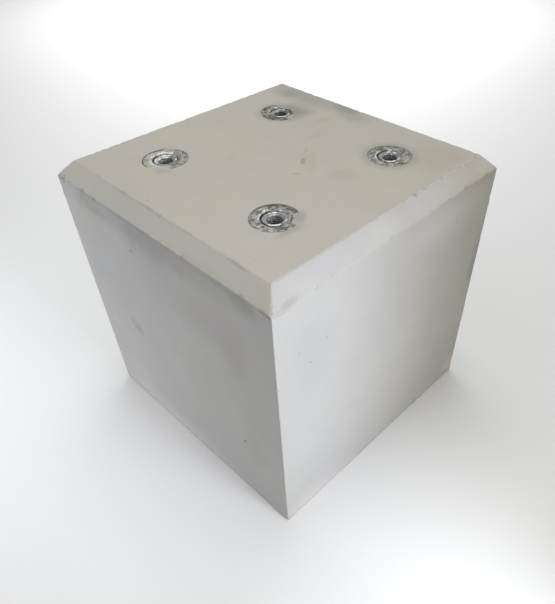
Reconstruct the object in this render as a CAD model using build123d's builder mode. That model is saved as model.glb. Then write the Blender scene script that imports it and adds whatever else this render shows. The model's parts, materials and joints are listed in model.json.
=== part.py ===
import os

from build123d import *

# Concrete deck pier block: a cast concrete cube with bevelled top edges and four threaded sockets in its top.
# Millimetres, +Z up, origin at the centre of the base. The corner nearest the viewer is at -X, -Y.

# Concrete body
block_width = 300.0  # across both level directions
block_height = 300.0
top_bevel = 14.0  # each way, along the four top edges

# Socket places: two rows of two, centred on the block
socket_spacing = 150.0  # centre to centre, along X and along Y

# Round steel plate around each socket's mouth
plate_diameter = 43.0
plate_thickness = 3.0
plate_hole_diameter = 24.0
plate_setback = 0.3  # the plate lies this far below the concrete, under a thin skin of cement

# Threaded steel tube, for a 16 mm bolt
tube_diameter = 21.3
tube_setback = 0.7  # the tube's mouth lies this far below the concrete
bore_diameter = 13.8  # crest of the thread
mouth_diameter = 17.0  # countersink at the mouth
thread_depth = 36.0  # from the mouth down to the end of the anchor bar
crimp_setback = 3.0  # from the end of the anchor bar down to the stretch that is squeezed on it
crimp_length = 21.0
crimp_wall = 3.7  # wall around the bar where the tube is squeezed

# Anchor bar, squeezed into the tube's lower end, with a round foot forged on it
bar_diameter = 12.0
bar_length = 120.0  # from its end inside the tube to the underside of the foot
foot_diameter = 30.0
foot_thickness = 6.0

half_spacing = socket_spacing / 2
socket_places = {
    "front": (-half_spacing, -half_spacing),
    "left": (-half_spacing, half_spacing),
    "right": (half_spacing, -half_spacing),
    "back": (half_spacing, half_spacing),
}

plate_underside = block_height - plate_setback - plate_thickness
tube_top = block_height - tube_setback
bar_top = tube_top - thread_depth
crimp_top = bar_top - crimp_setback
tube_foot = crimp_top - crimp_length
bar_radius = bar_diameter / 2
crimp_radius = bar_radius + crimp_wall
foot_underside = bar_top - bar_length
foot_top = foot_underside + foot_thickness


def upright_plane(place):
    """The vertical plane through a socket's axis: sketch x runs along +X and sketch y along +Z."""
    return Plane(origin=(place[0], place[1], 0), x_dir=(1, 0, 0), z_dir=(0, -1, 0))


def socket_axis(place):
    return Axis((place[0], place[1], 0), (0, 0, 1))


def make_plate(place):
    """A flat round plate with a hole that leaves a ring of space around the tube."""
    with BuildPart() as plate:
        with BuildSketch(Plane((place[0], place[1], plate_underside))):
            Circle(plate_diameter / 2)
            Circle(plate_hole_diameter / 2, mode=Mode.SUBTRACT)
        extrude(amount=plate_thickness)
    return plate.part


def make_tube_blank(place):
    """The tube's outside as a solid: full width at the top, squeezed to the anchor bar at the foot."""
    tube_radius = tube_diameter / 2
    with BuildPart() as blank:
        with BuildSketch(upright_plane(place)):
            with BuildLine():
                Polyline(
                    (0, tube_top),
                    (tube_radius, tube_top),
                    (tube_radius, crimp_top),
                    (crimp_radius, crimp_top),
                    (crimp_radius, tube_foot),
                    (0, tube_foot),
                    close=True,
                )
            make_face()
        revolve(axis=socket_axis(place))
    return blank.part


def make_tube(place, blank):
    """The blank, bored for the thread, countersunk at the mouth and open at the foot for the bar."""
    bore_radius = bore_diameter / 2
    mouth_radius = mouth_diameter / 2
    mouth_depth = mouth_radius - bore_radius
    with BuildPart() as tube:
        add(blank)
        with BuildSketch(upright_plane(place)):
            with BuildLine():
                Polyline(
                    (0, tube_top),
                    (mouth_radius, tube_top),
                    (bore_radius, tube_top - mouth_depth),
                    (bore_radius, bar_top),
                    (bar_radius, bar_top),
                    (bar_radius, tube_foot),
                    (0, tube_foot),
                    close=True,
                )
            make_face()
        revolve(axis=socket_axis(place), mode=Mode.SUBTRACT)
    return tube.part


def make_anchor_bar(place):
    """A round bar that starts in the tube. Its foot spreads out below, and holds it down in the concrete."""
    foot_radius = foot_diameter / 2
    with BuildPart() as bar:
        with BuildSketch(upright_plane(place)):
            with BuildLine():
                Polyline(
                    (0, bar_top),
                    (bar_radius, bar_top),
                    (bar_radius, foot_top),
                    (foot_radius, foot_top),
                    (foot_radius, foot_underside),
                    (0, foot_underside),
                    close=True,
                )
            make_face()
        revolve(axis=socket_axis(place))
    return bar.part


plates = {}
tube_blanks = {}
tubes = {}
anchor_bars = {}
for name, place in socket_places.items():
    plates[name] = make_plate(place)
    tube_blanks[name] = make_tube_blank(place)
    tubes[name] = make_tube(place, tube_blanks[name])
    anchor_bars[name] = make_anchor_bar(place)

# The concrete takes the form of the mould outside, and of the sockets where it flowed around them.
with BuildPart() as concrete_block:
    with BuildSketch(Plane.XY):
        Rectangle(block_width, block_width)
    extrude(amount=block_height)
    chamfer(concrete_block.faces().sort_by(Axis.Z)[-1].edges(), length=top_bevel)
    for name, place in socket_places.items():
        with BuildSketch(Plane((place[0], place[1], block_height))):
            Circle(plate_diameter / 2)
        extrude(amount=plate_underside - block_height, mode=Mode.SUBTRACT)
        add(tube_blanks[name], mode=Mode.SUBTRACT)
        add(anchor_bars[name], mode=Mode.SUBTRACT)

os.makedirs("parts", exist_ok=True)

concrete_block.part.label = "concrete_block"
export_step(concrete_block.part, "parts/concrete_block.step")

for kind, pieces in {"socket_plate": plates, "socket_tube": tubes, "anchor_bar": anchor_bars}.items():
    for name, piece in pieces.items():
        piece.label = f"{kind}_{name}"
        export_step(piece, f"parts/{piece.label}.step")
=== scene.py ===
import json
import math

import bmesh
import bpy
import numpy as np
from mathutils import Matrix, Vector
from mathutils.geometry import delaunay_2d_cdt


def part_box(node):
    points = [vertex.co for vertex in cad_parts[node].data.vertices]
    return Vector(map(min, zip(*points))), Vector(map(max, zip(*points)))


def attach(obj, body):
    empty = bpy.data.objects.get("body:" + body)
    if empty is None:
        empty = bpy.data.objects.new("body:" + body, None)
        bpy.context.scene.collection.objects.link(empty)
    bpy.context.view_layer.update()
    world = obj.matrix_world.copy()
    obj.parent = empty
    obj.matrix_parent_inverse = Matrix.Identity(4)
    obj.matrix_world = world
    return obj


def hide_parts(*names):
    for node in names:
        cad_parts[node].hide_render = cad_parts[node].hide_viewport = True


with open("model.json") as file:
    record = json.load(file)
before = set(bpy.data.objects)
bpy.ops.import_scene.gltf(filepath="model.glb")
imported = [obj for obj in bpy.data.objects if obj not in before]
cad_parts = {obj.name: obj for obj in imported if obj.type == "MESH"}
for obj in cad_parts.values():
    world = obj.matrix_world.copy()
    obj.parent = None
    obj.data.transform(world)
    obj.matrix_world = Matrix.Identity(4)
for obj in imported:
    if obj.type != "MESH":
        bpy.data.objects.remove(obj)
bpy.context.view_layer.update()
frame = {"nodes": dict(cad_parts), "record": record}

# Camera: it stands over the nearest corner of the block and looks down on the top.
# The photograph is cropped off its own centre, so the lens is shifted by a small part of the frame.
block_low, block_high = (Vector(corner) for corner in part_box("concrete_block"))
block_width = block_high.x - block_low.x
top_middle = Vector((0, 0, block_high.z))
eye_in_block_widths = Vector((-1.1146, -1.2348, 0.8070))
look_down = math.radians(44.27)
heading = math.radians(-46.44)
roll = math.radians(-0.186)
picture_width, picture_height = 555, 604
focal_pixels = 555.2
view_axis_x, view_axis_y = 318.7, 341.1

camera_data = bpy.data.cameras.new("camera")
camera_data.sensor_width = 36.0
camera_data.lens = camera_data.sensor_width * focal_pixels / picture_height
camera_data.shift_x = (picture_width / 2 - view_axis_x) / picture_height
camera_data.shift_y = (view_axis_y - picture_height / 2) / picture_height
camera_data.clip_start = 0.02
camera = bpy.data.objects.new("camera", camera_data)
turn = Matrix.Rotation(heading, 4, "Z")
turn = turn @ Matrix.Rotation(math.pi / 2 - look_down, 4, "X")
turn = turn @ Matrix.Rotation(roll, 4, "Z")
camera.matrix_world = Matrix.Translation(top_middle + eye_in_block_widths * block_width) @ turn
bpy.context.scene.collection.objects.link(camera)
bpy.context.scene.camera = camera
bpy.context.scene.view_settings.view_transform = "Standard"

# Studio: a plain pale floor, an even pale surround and soft boxes.
# The floor is matt painted board. None of it belongs to the block.


def fill_inputs(node, inputs):
    """Links each input that is given a socket, and sets the others. A colour is given without its alpha."""
    for name, value in inputs.items():
        if isinstance(value, bpy.types.NodeSocket):
            node.id_data.links.new(value, node.inputs[name])
        elif node.inputs[name].type == "RGBA":
            node.inputs[name].default_value = (*value, 1.0)
        else:
            node.inputs[name].default_value = value


def add_node(kind, inputs=None, tree=None, **settings):
    """A shader node. Where no tree is named, it goes in the one that its linked inputs come from."""
    inputs = inputs or {}
    if tree is None:
        linked = [value for value in inputs.values() if isinstance(value, bpy.types.NodeSocket)]
        tree = linked[0].id_data
    made = tree.nodes.new(kind)
    for name, value in settings.items():
        setattr(made, name, value)
    fill_inputs(made, inputs)
    return made


def mix_colour(mask, first, second, blend="MIX"):
    """The colour that goes from first to second as the mask goes from 0 to 1."""
    inputs = {0: mask, 6: first, 7: second}
    return add_node("ShaderNodeMix", inputs, data_type="RGBA", blend_type=blend).outputs[2]


def new_material(name):
    """An empty material with its shader and its output joined."""
    material = bpy.data.materials.new(name)
    material.use_nodes = True
    material.node_tree.nodes.clear()
    shader = add_node("ShaderNodeBsdfPrincipled", tree=material.node_tree)
    add_node("ShaderNodeOutputMaterial", {"Surface": shader.outputs[0]})
    return material, shader


floor_half = 6.0
floor_mesh = bpy.data.meshes.new("floor")
floor_corners = [(x * floor_half, y * floor_half, 0) for x, y in ((-1, -1), (1, -1), (1, 1), (-1, 1))]
floor_mesh.from_pydata(floor_corners, [], [(0, 1, 2, 3)])
floor = bpy.data.objects.new("floor", floor_mesh)
bpy.context.scene.collection.objects.link(floor)
floor_material, floor_shader = new_material("floor_board")
floor_noise = add_node("ShaderNodeTexNoise", {"Scale": 1.4, "Detail": 3.0}, tree=floor_material.node_tree)
floor_colour = mix_colour(floor_noise.outputs["Fac"], (0.9, 0.9, 0.895), (0.94, 0.94, 0.935))
fill_inputs(floor_shader, {"Base Color": floor_colour, "Roughness": 0.9})
floor_mesh.materials.append(floor_material)

world = bpy.data.worlds.new("surround")
bpy.context.scene.world = world
world.use_nodes = True
fill_inputs(world.node_tree.nodes["Background"], {"Color": (1.0, 1.0, 1.0), "Strength": 0.45})


def soft_box(name, place, aim, width, height, watts, colour, spread=180.0):
    """A rectangular lamp that the camera does not see."""
    lamp = bpy.data.lights.new(name, "AREA")
    lamp.shape = "RECTANGLE"
    lamp.size = width
    lamp.size_y = height
    lamp.energy = watts
    lamp.color = colour
    lamp.spread = math.radians(spread)
    made = bpy.data.objects.new(name, lamp)
    direction = Vector(aim) - Vector(place)
    made.matrix_world = Matrix.Translation(place) @ direction.to_track_quat("-Z", "Y").to_matrix().to_4x4()
    made.visible_camera = False
    bpy.context.scene.collection.objects.link(made)


# Two lamps hang over the block, one lights the floor behind it, and one its left face from low down.
# The last three stand near the right face, like a window close to the front corner.
soft_box("over_middle", (0.28, 0.28, 1.7), (0.28, 0.28, 0.0), 0.8, 0.8, 9.8, (0.97, 1.0, 1.0))
soft_box("over_left", (-0.9, 0.5, 1.4), (0, 0, 0.3), 1.0, 1.0, 1.1, (1.0, 0.9, 1.0))
soft_box("over_floor", (1.3, 1.3, 1.3), (1.3, 1.3, 0.0), 1.6, 1.6, 9.0, (1.0, 1.0, 1.0), 70)
soft_box("low_left", (-0.6, 0.42, 0.08), (-0.15, 0.12, 0.03), 0.4, 0.15, 1.38, (0.86, 0.91, 1.0))
soft_box("window_near", (-0.10, -0.48, 0.26), (-0.13, -0.15, 0.22), 0.14, 0.5, 0.5, (0.85, 0.9, 1.0), 100)
soft_box("window_wide", (0.0, -0.65, 0.42), (-0.05, -0.15, 0.2), 0.3, 0.4, 0.2, (1.0, 0.75, 0.3))
soft_box("window_edge", (-0.12, -0.6, 0.3), (-0.15, -0.15, 0.15), 0.12, 0.6, 0.19, (0.85, 0.9, 1.0), 60)

# Concrete block: one cast piece of fine grey concrete with a smooth mould finish, bevelled along the top.
# It was poured around the four sockets, and its thin cement skin runs over their plates in places.
mm = 0.001
half_width = block_width / 2
top = block_high.z
bevel = 14 * mm
top_edge = half_width - bevel
bevel_foot = top - bevel
widest_spacing = 6 * mm  # between points of the mesh, on the plain faces
edge_growth = 0.21  # how fast the points draw apart, away from an edge or a socket
lip_spacing = 1.0 * mm  # around a socket
hollow_spacing = 0.7 * mm  # around a hollow in a face
hollow_growth = 0.45
up = np.array((0.0, 0.0, 1.0))


def scatter(corner, seed):
    """A fixed random value between 0 and 1 for each whole-numbered place."""
    mixed = corner[:, 0] * 73856093 ^ corner[:, 1] * 19349663 ^ corner[:, 2] * 83492791 ^ (seed * 2654435761)
    mixed = (mixed ^ (mixed >> 13)) * 1274126177
    return ((mixed ^ (mixed >> 16)) & 0xFFFFFF) / 0xFFFFFF


def wander(points, size, seed):
    """Smooth random values between 0 and 1 over space, with features about one size across."""
    grid = points / size + 1000.0
    cell = np.floor(grid).astype(np.int64)
    part = grid - cell
    part = part * part * (3 - 2 * part)
    total = np.zeros(len(points))
    for step in np.ndindex(2, 2, 2):
        share_x, share_y, share_z = np.abs(1 - np.array(step) - part).T
        total += share_x * share_y * share_z * scatter(cell + np.array(step), seed)
    return total


def smooth_step(value, low, high):
    """0 below low and 1 above high, with a soft change between. Low may be the greater of the two."""
    part = np.clip((value - low) / (high - low), 0, 1)
    return part * part * (3 - 2 * part)


def to_segment(points, start, end):
    """How far along a straight edge each point lies, and how far from it."""
    along = end - start
    length = np.linalg.norm(along)
    along = along / length
    reach = (points - start) @ along
    foot = start + np.clip(reach, 0, length)[:, None] * along
    return reach, np.linalg.norm(points - foot, axis=1)


# The edges of the block: each has its outward direction, then the spacing of the mesh there and the
# softness of its wear, given in millimetres.
corner_signs = [(-1, -1), (1, -1), (1, 1), (-1, 1)]
side_names = ["right", "behind_right", "behind_left", "left"]
cos_45 = math.sqrt(0.5)
edges = {}
for side, name in enumerate(side_names):
    ends = corner_signs[side], corner_signs[(side + 1) % 4]
    upper, upper_end = ((x * top_edge, y * top_edge, top) for x, y in ends)
    lower, lower_end = ((x * half_width, y * half_width, bevel_foot) for x, y in ends)
    ground, ground_end = ((x * half_width, y * half_width, 0) for x, y in ends)
    out = np.array((*np.mean(ends, axis=0), 0))
    kinds = {
        "upper": (upper, upper_end, out * cos_45 + up * (1 + cos_45), 0.95, 0.2),
        "lower": (lower, lower_end, out * (1 + cos_45) + up * cos_45, 0.95, 0.14),
        "mitre": (upper, lower, (*ends[0], 2.0), 0.95, 0.3),
        "upright": (lower, ground, (*ends[0], 0.0), 1.5, 0.4),
        "base": (ground, ground_end, out - up, 2.6, 0.5),
    }
    for kind, (start, end, direction, spacing, wear) in kinds.items():
        direction = direction / np.linalg.norm(direction)
        edges[f"{name}_{kind}"] = (np.array(start), np.array(end), direction, spacing * mm, wear * mm)

# Chips that stand out, by edge: place along it from its start, length and depth in millimetres.
# Many small ones follow on every edge, closest together along the bevel.
chips = {
    "left_lower": [
        (4.0, 8.0, 1.8), (12.0, 7.0, 1.6), (22.0, 4.0, 0.8), (45.5, 9.0, 1.4), (66.0, 6.0, 1.0),
        (108.0, 4.0, 0.5), (150.0, 5.0, 0.45), (197.0, 9.0, 1.1), (268.0, 8.0, 1.0), (289.0, 9.0, 1.0),
    ],
    "left_mitre": [(21.0, 6.0, 0.9)],
    "right_mitre": [(22.0, 6.0, 0.8)],
    "right_lower": [
        (16.0, 7.0, 0.3), (64.0, 12.0, 0.35), (190.0, 6.0, 0.5), (246.0, 11.0, 0.9), (262.0, 8.0, 0.8),
        (281.0, 10.0, 1.0),
    ],
    "right_upper": [(175.0, 6.0, 0.4), (186.0, 5.0, 0.35), (62.0, 4.0, 0.4)],
    "right_base": [(212.0, 12.0, 1.4), (224.0, 7.0, 1.0)],
    "left_upper": [
        (87.0, 8.0, 0.6), (139.0, 7.0, 0.6), (229.0, 7.0, 0.6), (112.0, 8.0, 0.7), (124.0, 7.0, 0.8),
    ],
    "left_upright": [(12.0, 7.0, 1.0), (210.0, 9.0, 0.8)],
    "behind_right_upper": [(80.0, 9.0, 0.7)],
    "behind_right_lower": [(40.0, 8.0, 0.8)],
    "behind_right_upright": [(30.0, 8.0, 0.9)],
    "behind_left_lower": [(240.0, 10.0, 1.0)],
    "behind_left_upright": [(270.0, 12.0, 1.3)],
}
chance = np.random.default_rng(16)
for name, (start, end, direction, spacing, wear) in edges.items():
    length = np.linalg.norm(end - start) / mm
    chips_per_mm = 0.02 if name.endswith(("upright", "base")) else 0.15
    shallow, deep = (0.04, 0.13) if name.startswith("left") else (0.06, 0.2)
    for place in chance.uniform(0, length, round(length * chips_per_mm)):
        size = chance.uniform(1.8, 6.0)
        chips.setdefault(name, []).append((place, size, size * chance.uniform(shallow, deep)))

# Hollows in the faces: pinholes left by air against the mould, and gouges and dents made later.
# Face, place along it and up it, length, width, turn in degrees and depth, all in millimetres.
face_frames = {
    "right": ((0, -half_width, 0), (1, 0, 0), (0, 0, 1)),
    "behind_right": ((half_width, 0, 0), (0, 1, 0), (0, 0, 1)),
    "behind_left": ((0, half_width, 0), (-1, 0, 0), (0, 0, 1)),
    "left": ((-half_width, 0, 0), (0, -1, 0), (0, 0, 1)),
    "top": ((0, 0, top), (1, 0, 0), (0, 1, 0)),
    "right_bevel": ((0, bevel / 2 - half_width, top - bevel / 2), (1, 0, 0), (0, cos_45, cos_45)),
    "left_bevel": ((bevel / 2 - half_width, 0, top - bevel / 2), (0, -1, 0), (cos_45, 0, cos_45)),
}
hollows = [
    ("right", -112.5, 213.5, 4.2, 2.4, -42.0, 0.55),
    ("right", -92.5, 228.0, 2.6, 1.5, -50.0, 0.4),
    ("right", -124.8, 232.9, 3.4, 1.5, -68.0, 0.4),
    ("right", -96.9, 281.0, 1.8, 1.3, -50.0, 0.3),
    ("right", -124.8, 253.6, 1.6, 1.3, 0.0, 0.3),
    ("right", 95.0, 72.0, 5.0, 0.9, -48.0, 0.5),
    ("right", 99.0, 66.0, 3.4, 0.8, -55.0, 0.5),
    ("right", 90.3, 253.6, 11.0, 1.6, -76.0, 0.25),
    ("left", 94.7, 88.7, 5.5, 2.2, 78.0, 0.7),
    ("left", -39.0, 251.4, 6.5, 1.7, 32.0, 0.6),
    ("left", -101.0, 276.0, 8.0, 1.8, 52.0, 0.5),
    ("left", -111.0, 277.0, 5.0, 1.5, 70.0, 0.4),
    ("left", -134.0, 62.0, 9.0, 1.6, 56.0, 0.35),
    ("left", 14.0, 60.0, 1.5, 1.3, 0.0, 0.6),
    ("top", 10.6, -22.0, 12.0, 4.6, 48.0, 0.22),
    ("top", 3.5, -29.5, 5.5, 1.8, 50.0, 0.12),
    ("top", -10.5, -35.0, 8.0, 2.6, -48.0, 0.22),
    ("top", 29.0, -9.0, 10.0, 2.2, 35.0, 0.16),
    ("top", -129.5, 22.5, 2.6, 1.7, 70.0, 0.5),
    ("top", -126.5, 29.0, 6.5, 1.5, -52.0, 0.3),
    ("top", 97.0, 24.0, 3.5, 1.2, 30.0, 0.2),
]
for number in range(36):
    face = (*side_names, "top", "top")[number % 6]
    spans = ((-130, 130), (-125, 125)) if face == "top" else ((-140, 140), (15, 275))
    limits = (*spans, (0.8, 1.8), (0.7, 1.3), (0, 180), (0.2, 0.5))
    hollows.append((face, *(chance.uniform(low, high) for low, high in limits)))
hollow_rings = (0.35, 0.65, 0.88, 1.0, 1.25)  # where the mesh has rings, as shares of the hollow's rim
hollow_ring_spacing = 0.4 * mm
face_reach = 2 * mm  # how far from its face a hollow still takes a point in


def mark_frame(face, along, height, length, width, turn, *others):
    """The middle of a mark on a face, and its two half axes as vectors. A hollow's depth plays no part."""
    origin, across, upward = (np.array(part, dtype=float) for part in face_frames[face])
    turn = math.radians(turn)
    long_way = across * math.cos(turn) + upward * math.sin(turn)
    short_way = upward * math.cos(turn) - across * math.sin(turn)
    middle = origin + (across * along + upward * height) * mm
    return middle, long_way * length / 2 * mm, short_way * width / 2 * mm


def in_hollow(points, hollow):
    """How far out each point lies in a hollow: 0 in its middle and 1 on its rim."""
    middle, long_half, short_half = mark_frame(*hollow)
    away = points - middle
    normal = np.cross(long_half, short_half)
    along = away @ long_half / (long_half @ long_half)
    across = away @ short_half / (short_half @ short_half)
    depth = away @ normal / np.linalg.norm(normal) / face_reach
    return np.sqrt(along**2 + across**2 + depth**2)


def hollow_points(hollow):
    """Mesh points on rings in and around a hollow."""
    middle, long_half, short_half = mark_frame(*hollow)
    made = [middle[None, :]]
    for share in hollow_rings:
        length = math.pi * share * (np.linalg.norm(long_half) + np.linalg.norm(short_half))
        angles = np.linspace(0, 2 * math.pi, max(9, int(length / hollow_ring_spacing)), endpoint=False)
        ring = np.outer(np.cos(angles), long_half) + np.outer(np.sin(angles), short_half)
        made.append(middle + share * ring)
    return np.concatenate(made)


# The socket places come from the record's mounts. Around each, the top ends in a lip over the plate.
sockets = {}
for mount in frame["record"]["mounts"]:
    if mount["kind"] == "threaded_hole":
        sockets[mount["name"].split("_")[1]] = np.array(mount["pos_m"][:2])
plate_radius = 21.5 * mm
lip_radius = 21.4 * mm  # the concrete's skin ends over the plate's edge, in a thin seam of painted shade
lip_rim = 24.5 * mm  # out to here the mesh follows the socket in rings
ring_steps = 180  # points around each socket
whole_ring = np.ones(ring_steps)
ring_numbers = np.arange(ring_steps)
ring_angles = ring_numbers * 2 * math.pi / ring_steps
unit_ring = np.stack((np.cos(ring_angles), np.sin(ring_angles)), -1)


def spacing_at(points):
    """How far apart the mesh points should be: fine at edges, holes and marks, wide on the plain faces."""
    wanted = np.full(len(points), widest_spacing)
    for start, end, direction, spacing, wear in edges.values():
        wanted = np.minimum(wanted, spacing + edge_growth * to_segment(points, start, end)[1])
    for hollow in hollows:
        middle, long_half, short_half = mark_frame(*hollow)
        away = np.linalg.norm(points - middle, axis=1) - np.linalg.norm(long_half)
        wanted = np.minimum(wanted, hollow_spacing + hollow_growth * np.maximum(0, away))
    for x, y in sockets.values():
        away = np.hypot(points[:, 0] - x, points[:, 1] - y) - lip_rim
        away = np.hypot(away, points[:, 2] - top)
        wanted = np.minimum(wanted, lip_spacing + edge_growth * away)
    return wanted


def graded_points(low, high, to_space):
    """Points over a rectangle, as close together as spacing_at asks where they lie in space."""
    cell = 16 * mm  # the widest, quartered as often as the spacing asks
    across = np.arange(low[0] + cell / 2, high[0] + cell, cell)
    upward = np.arange(low[1] + cell / 2, high[1] + cell, cell)
    centres = np.stack(np.meshgrid(across, upward), -1).reshape(-1, 2)
    kept = []
    while len(centres):
        too_wide = spacing_at(to_space(centres)) < cell
        kept.append(centres[~too_wide])
        cell = cell / 2
        quarter = np.array(corner_signs) * cell / 2
        centres = (centres[too_wide][:, None, :] + quarter).reshape(-1, 2)
    return np.concatenate(kept)


def even_steps(start, end, spacing):
    """Points along a straight line, with the first and without the last."""
    start, end = np.array(start), np.array(end)
    count = max(1, round(float(np.linalg.norm(end - start)) / spacing))
    return start + (end - start) * (np.arange(count) / count)[:, None]


corners = []  # points of the whole block
facets = []  # triangles as rows of point numbers
point_jitter = 0.12  # how far the inner points stray from their grid, as a share of the spacing
rim_clearance = 0.5  # how far they keep from the rims, as a share of it
hollow_clearance = 1.45  # how far they keep from a hollow's middle, as a share of its rim


def add_facets(points, rows):
    """Adds one stretch of surface to the block."""
    first = sum(len(some) for some in corners)
    corners.append(np.asarray(points, dtype=float))
    facets.append(np.asarray(rows, dtype=np.int64) + first)


def flat_face(name, rim, to_space, to_flat, holes=()):
    """Triangles over one flat face. The rim is given in the face's own two directions, counter-clockwise.

    to_space and to_flat turn points from those directions into space and back.
    """
    inner = graded_points(rim.min(axis=0), rim.max(axis=0), to_space)
    jitter = np.random.default_rng(3).uniform(-point_jitter, point_jitter, inner.shape)
    inner = inner + jitter * spacing_at(to_space(inner))[:, None]
    kept = np.ones(len(inner), dtype=bool)
    drawn = []
    for hollow in hollows:
        if hollow[0] == name:
            kept &= in_hollow(to_space(inner), hollow) > hollow_clearance
            drawn.append(to_flat(hollow_points(hollow)))
    inner = np.concatenate([inner[kept], *drawn])
    gap = rim_clearance * spacing_at(to_space(inner))
    nearest = np.full(len(inner), np.inf)
    for start, end in zip(rim, np.roll(rim, -1, axis=0)):
        side = (end - start) / np.linalg.norm(end - start)
        nearest = np.minimum(nearest, (inner - start) @ np.array((-side[1], side[0])))
    kept = nearest > gap
    loops = [rim]
    for centre in holes:
        kept &= np.hypot(*(inner - centre).T) > lip_rim + gap
        loops.append(centre + unit_ring * lip_rim)
    points = np.concatenate(loops + [inner[kept]])
    made = delaunay_2d_cdt([Vector(p) for p in points], [], [], 0, 1e-8, False)
    flat = np.array([tuple(p) for p in made[0]])
    rows = np.array(made[2])
    middles = flat[rows].mean(axis=1)
    outside = np.zeros(len(rows), dtype=bool)
    for centre in holes:
        outside |= np.hypot(*(middles - centre).T) < lip_rim * math.cos(math.pi / ring_steps)
    add_facets(to_space(flat), rows[~outside])


def rim_of(*stretches):
    """One closed rim from straight stretches, each given as start, end and spacing."""
    return np.concatenate([even_steps(*stretch) for stretch in stretches])


def square_rim(reach, spacing):
    places = [(x * reach, y * reach) for x, y in corner_signs]
    return rim_of(*((a, b, spacing) for a, b in zip(places, places[1:] + places[:1])))


fine, upright, coarse = (edges[name][3] for name in ("right_upper", "right_upright", "right_base"))
flat_face(
    "top",
    square_rim(top_edge, fine),
    lambda flat: np.column_stack((flat, np.full(len(flat), top))),
    lambda points: points[:, :2],
    list(sockets.values()),
)
flat_face(
    "base",
    square_rim(half_width, coarse),
    lambda flat: np.column_stack((flat[:, 0], -flat[:, 1], np.zeros(len(flat)))),
    lambda points: points[:, :2] * (1, -1),
)
slant = math.hypot(bevel, bevel)
for side, name in enumerate(side_names):
    around = np.array(Matrix.Rotation(side * math.pi / 2, 3, "Z"))

    def on_bevel(flat):
        """Sketch x runs along the side, and sketch y up the slope from the bevel's lower edge."""
        rise = flat[:, 1] / slant * bevel
        return np.column_stack((flat[:, 0], rise - half_width, rise + bevel_foot)) @ around.T

    def on_side(flat):
        return np.column_stack((flat[:, 0], np.full(len(flat), -half_width), flat[:, 1])) @ around.T

    def from_side(points):
        return (points @ around)[:, (0, 2)]

    bevel_rim = rim_of(
        ((-half_width, 0), (half_width, 0), fine),
        ((half_width, 0), (top_edge, slant), fine),
        ((top_edge, slant), (-top_edge, slant), fine),
        ((-top_edge, slant), (-half_width, 0), fine),
    )
    side_rim = rim_of(
        ((-half_width, 0), (half_width, 0), coarse),
        ((half_width, 0), (half_width, bevel_foot), upright),
        ((half_width, bevel_foot), (-half_width, bevel_foot), fine),
        ((-half_width, bevel_foot), (-half_width, 0), upright),
    )
    flat_face(f"{name}_bevel", bevel_rim, on_bevel, from_side)
    flat_face(name, side_rim, on_side, from_side)

# Tongues of cement over each plate: angle and half spread in degrees, and how near to the socket's
# middle each one reaches, in millimetres.
cement_tongues = {
    "front": [(-50, 36, 15.8), (-94, 26, 20.4), (-128, 16, 20.6)],
    "left": [(217, 36, 13.6), (40, 26, 20.4)],
    "right": [(-70, 34, 20.2), (140, 30, 20.8), (32, 30, 20.8)],
    "back": [(-22, 104, 12.9), (150, 40, 20.7)],
}
# Stretches where the gap around the tube is full of cement: angle, half spread and how full.
filled_gaps = {
    "front": [(-55, 70, 1.0), (5, 40, 1.0)],
    "left": [(20, 46, 1.0), (214, 30, 1.0), (-104, 30, 1.0)],
    "right": [(-60, 60, 1.0), (10, 50, 1.0)],
    "back": [(140, 36, 1.0)],
}
# Stretches of painted shade in the seam between each plate and the concrete: angle, half spread and strength.
seam_painted_shade = {
    "front": [(60, 64, 1.0), (160, 30, 0.9), (262, 56, 0.85)],
    "left": [(100, 62, 0.85), (158, 34, 1.0), (294, 26, 1.0), (345, 34, 0.7)],
    "right": [(100, 66, 0.55), (284, 34, 0.85), (196, 40, 0.45)],
    "back": [(100, 60, 0.45), (236, 46, 0.6)],
}
tube_radius = 10.65 * mm
plate_hole_radius = 12 * mm
hole_widening = 0.6 * mm  # on one side, where the tube stands off the middle of the plate's hole
plate_top = top - 0.3 * mm
plate_underside = plate_top - 3 * mm
film = 0.01 * mm  # the concrete clears the steel by this much, so that no two faces lie in one place
bar_radius, crimp_radius, foot_radius = 6 * mm, 9.7 * mm, 15 * mm
tube_low, tube_high = (corner[2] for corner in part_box("socket_tube_front"))
foot_low, bar_high = (corner[2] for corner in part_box("anchor_bar_front"))
crimp_top = bar_high - 3 * mm
foot_top = foot_low + 6 * mm


def angle_share(centre, spread, core=0.4):
    """1 at one angle of the ring, falling to 0 at the end of its spread."""
    away = np.abs((np.degrees(ring_angles) - centre + 180) % 360 - 180)
    return smooth_step(away, spread, spread * core)


def strongest(stretches):
    """The strongest mark around the ring, from stretches given as angle, half spread and strength."""
    return np.max([strength * angle_share(angle, spread) for angle, spread, strength in stretches], axis=0)


def two_waves(points, size, fine_size, fine_share, seed):
    """Random values on both sides of 0, made of wide waves and finer ones."""
    return wander(points, size, seed) - 0.5 + fine_share * (wander(points, fine_size, seed + 1) - 0.5)


def ring_surface(rings, centre, loop=False):
    """Points and triangles between rings around a socket's axis, each given as its radii and heights."""
    points = []
    for radius, height in rings:
        flat = unit_ring * (whole_ring * radius)[:, None] + centre
        points.append(np.column_stack((flat, whole_ring * height)))
    if loop:
        rings = rings + rings[:1]
    rows = []
    for number in range(len(rings) - 1):
        outer = number * ring_steps + ring_numbers
        inner = (number + 1) * ring_steps % (len(points) * ring_steps) + ring_numbers
        outer_after, inner_after = np.roll(outer, -1), np.roll(inner, -1)
        rows.append(np.stack((outer, outer_after, inner_after), -1))
        rows.append(np.stack((outer, inner_after, inner), -1))
    return np.concatenate(points), np.concatenate(rows)


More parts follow.
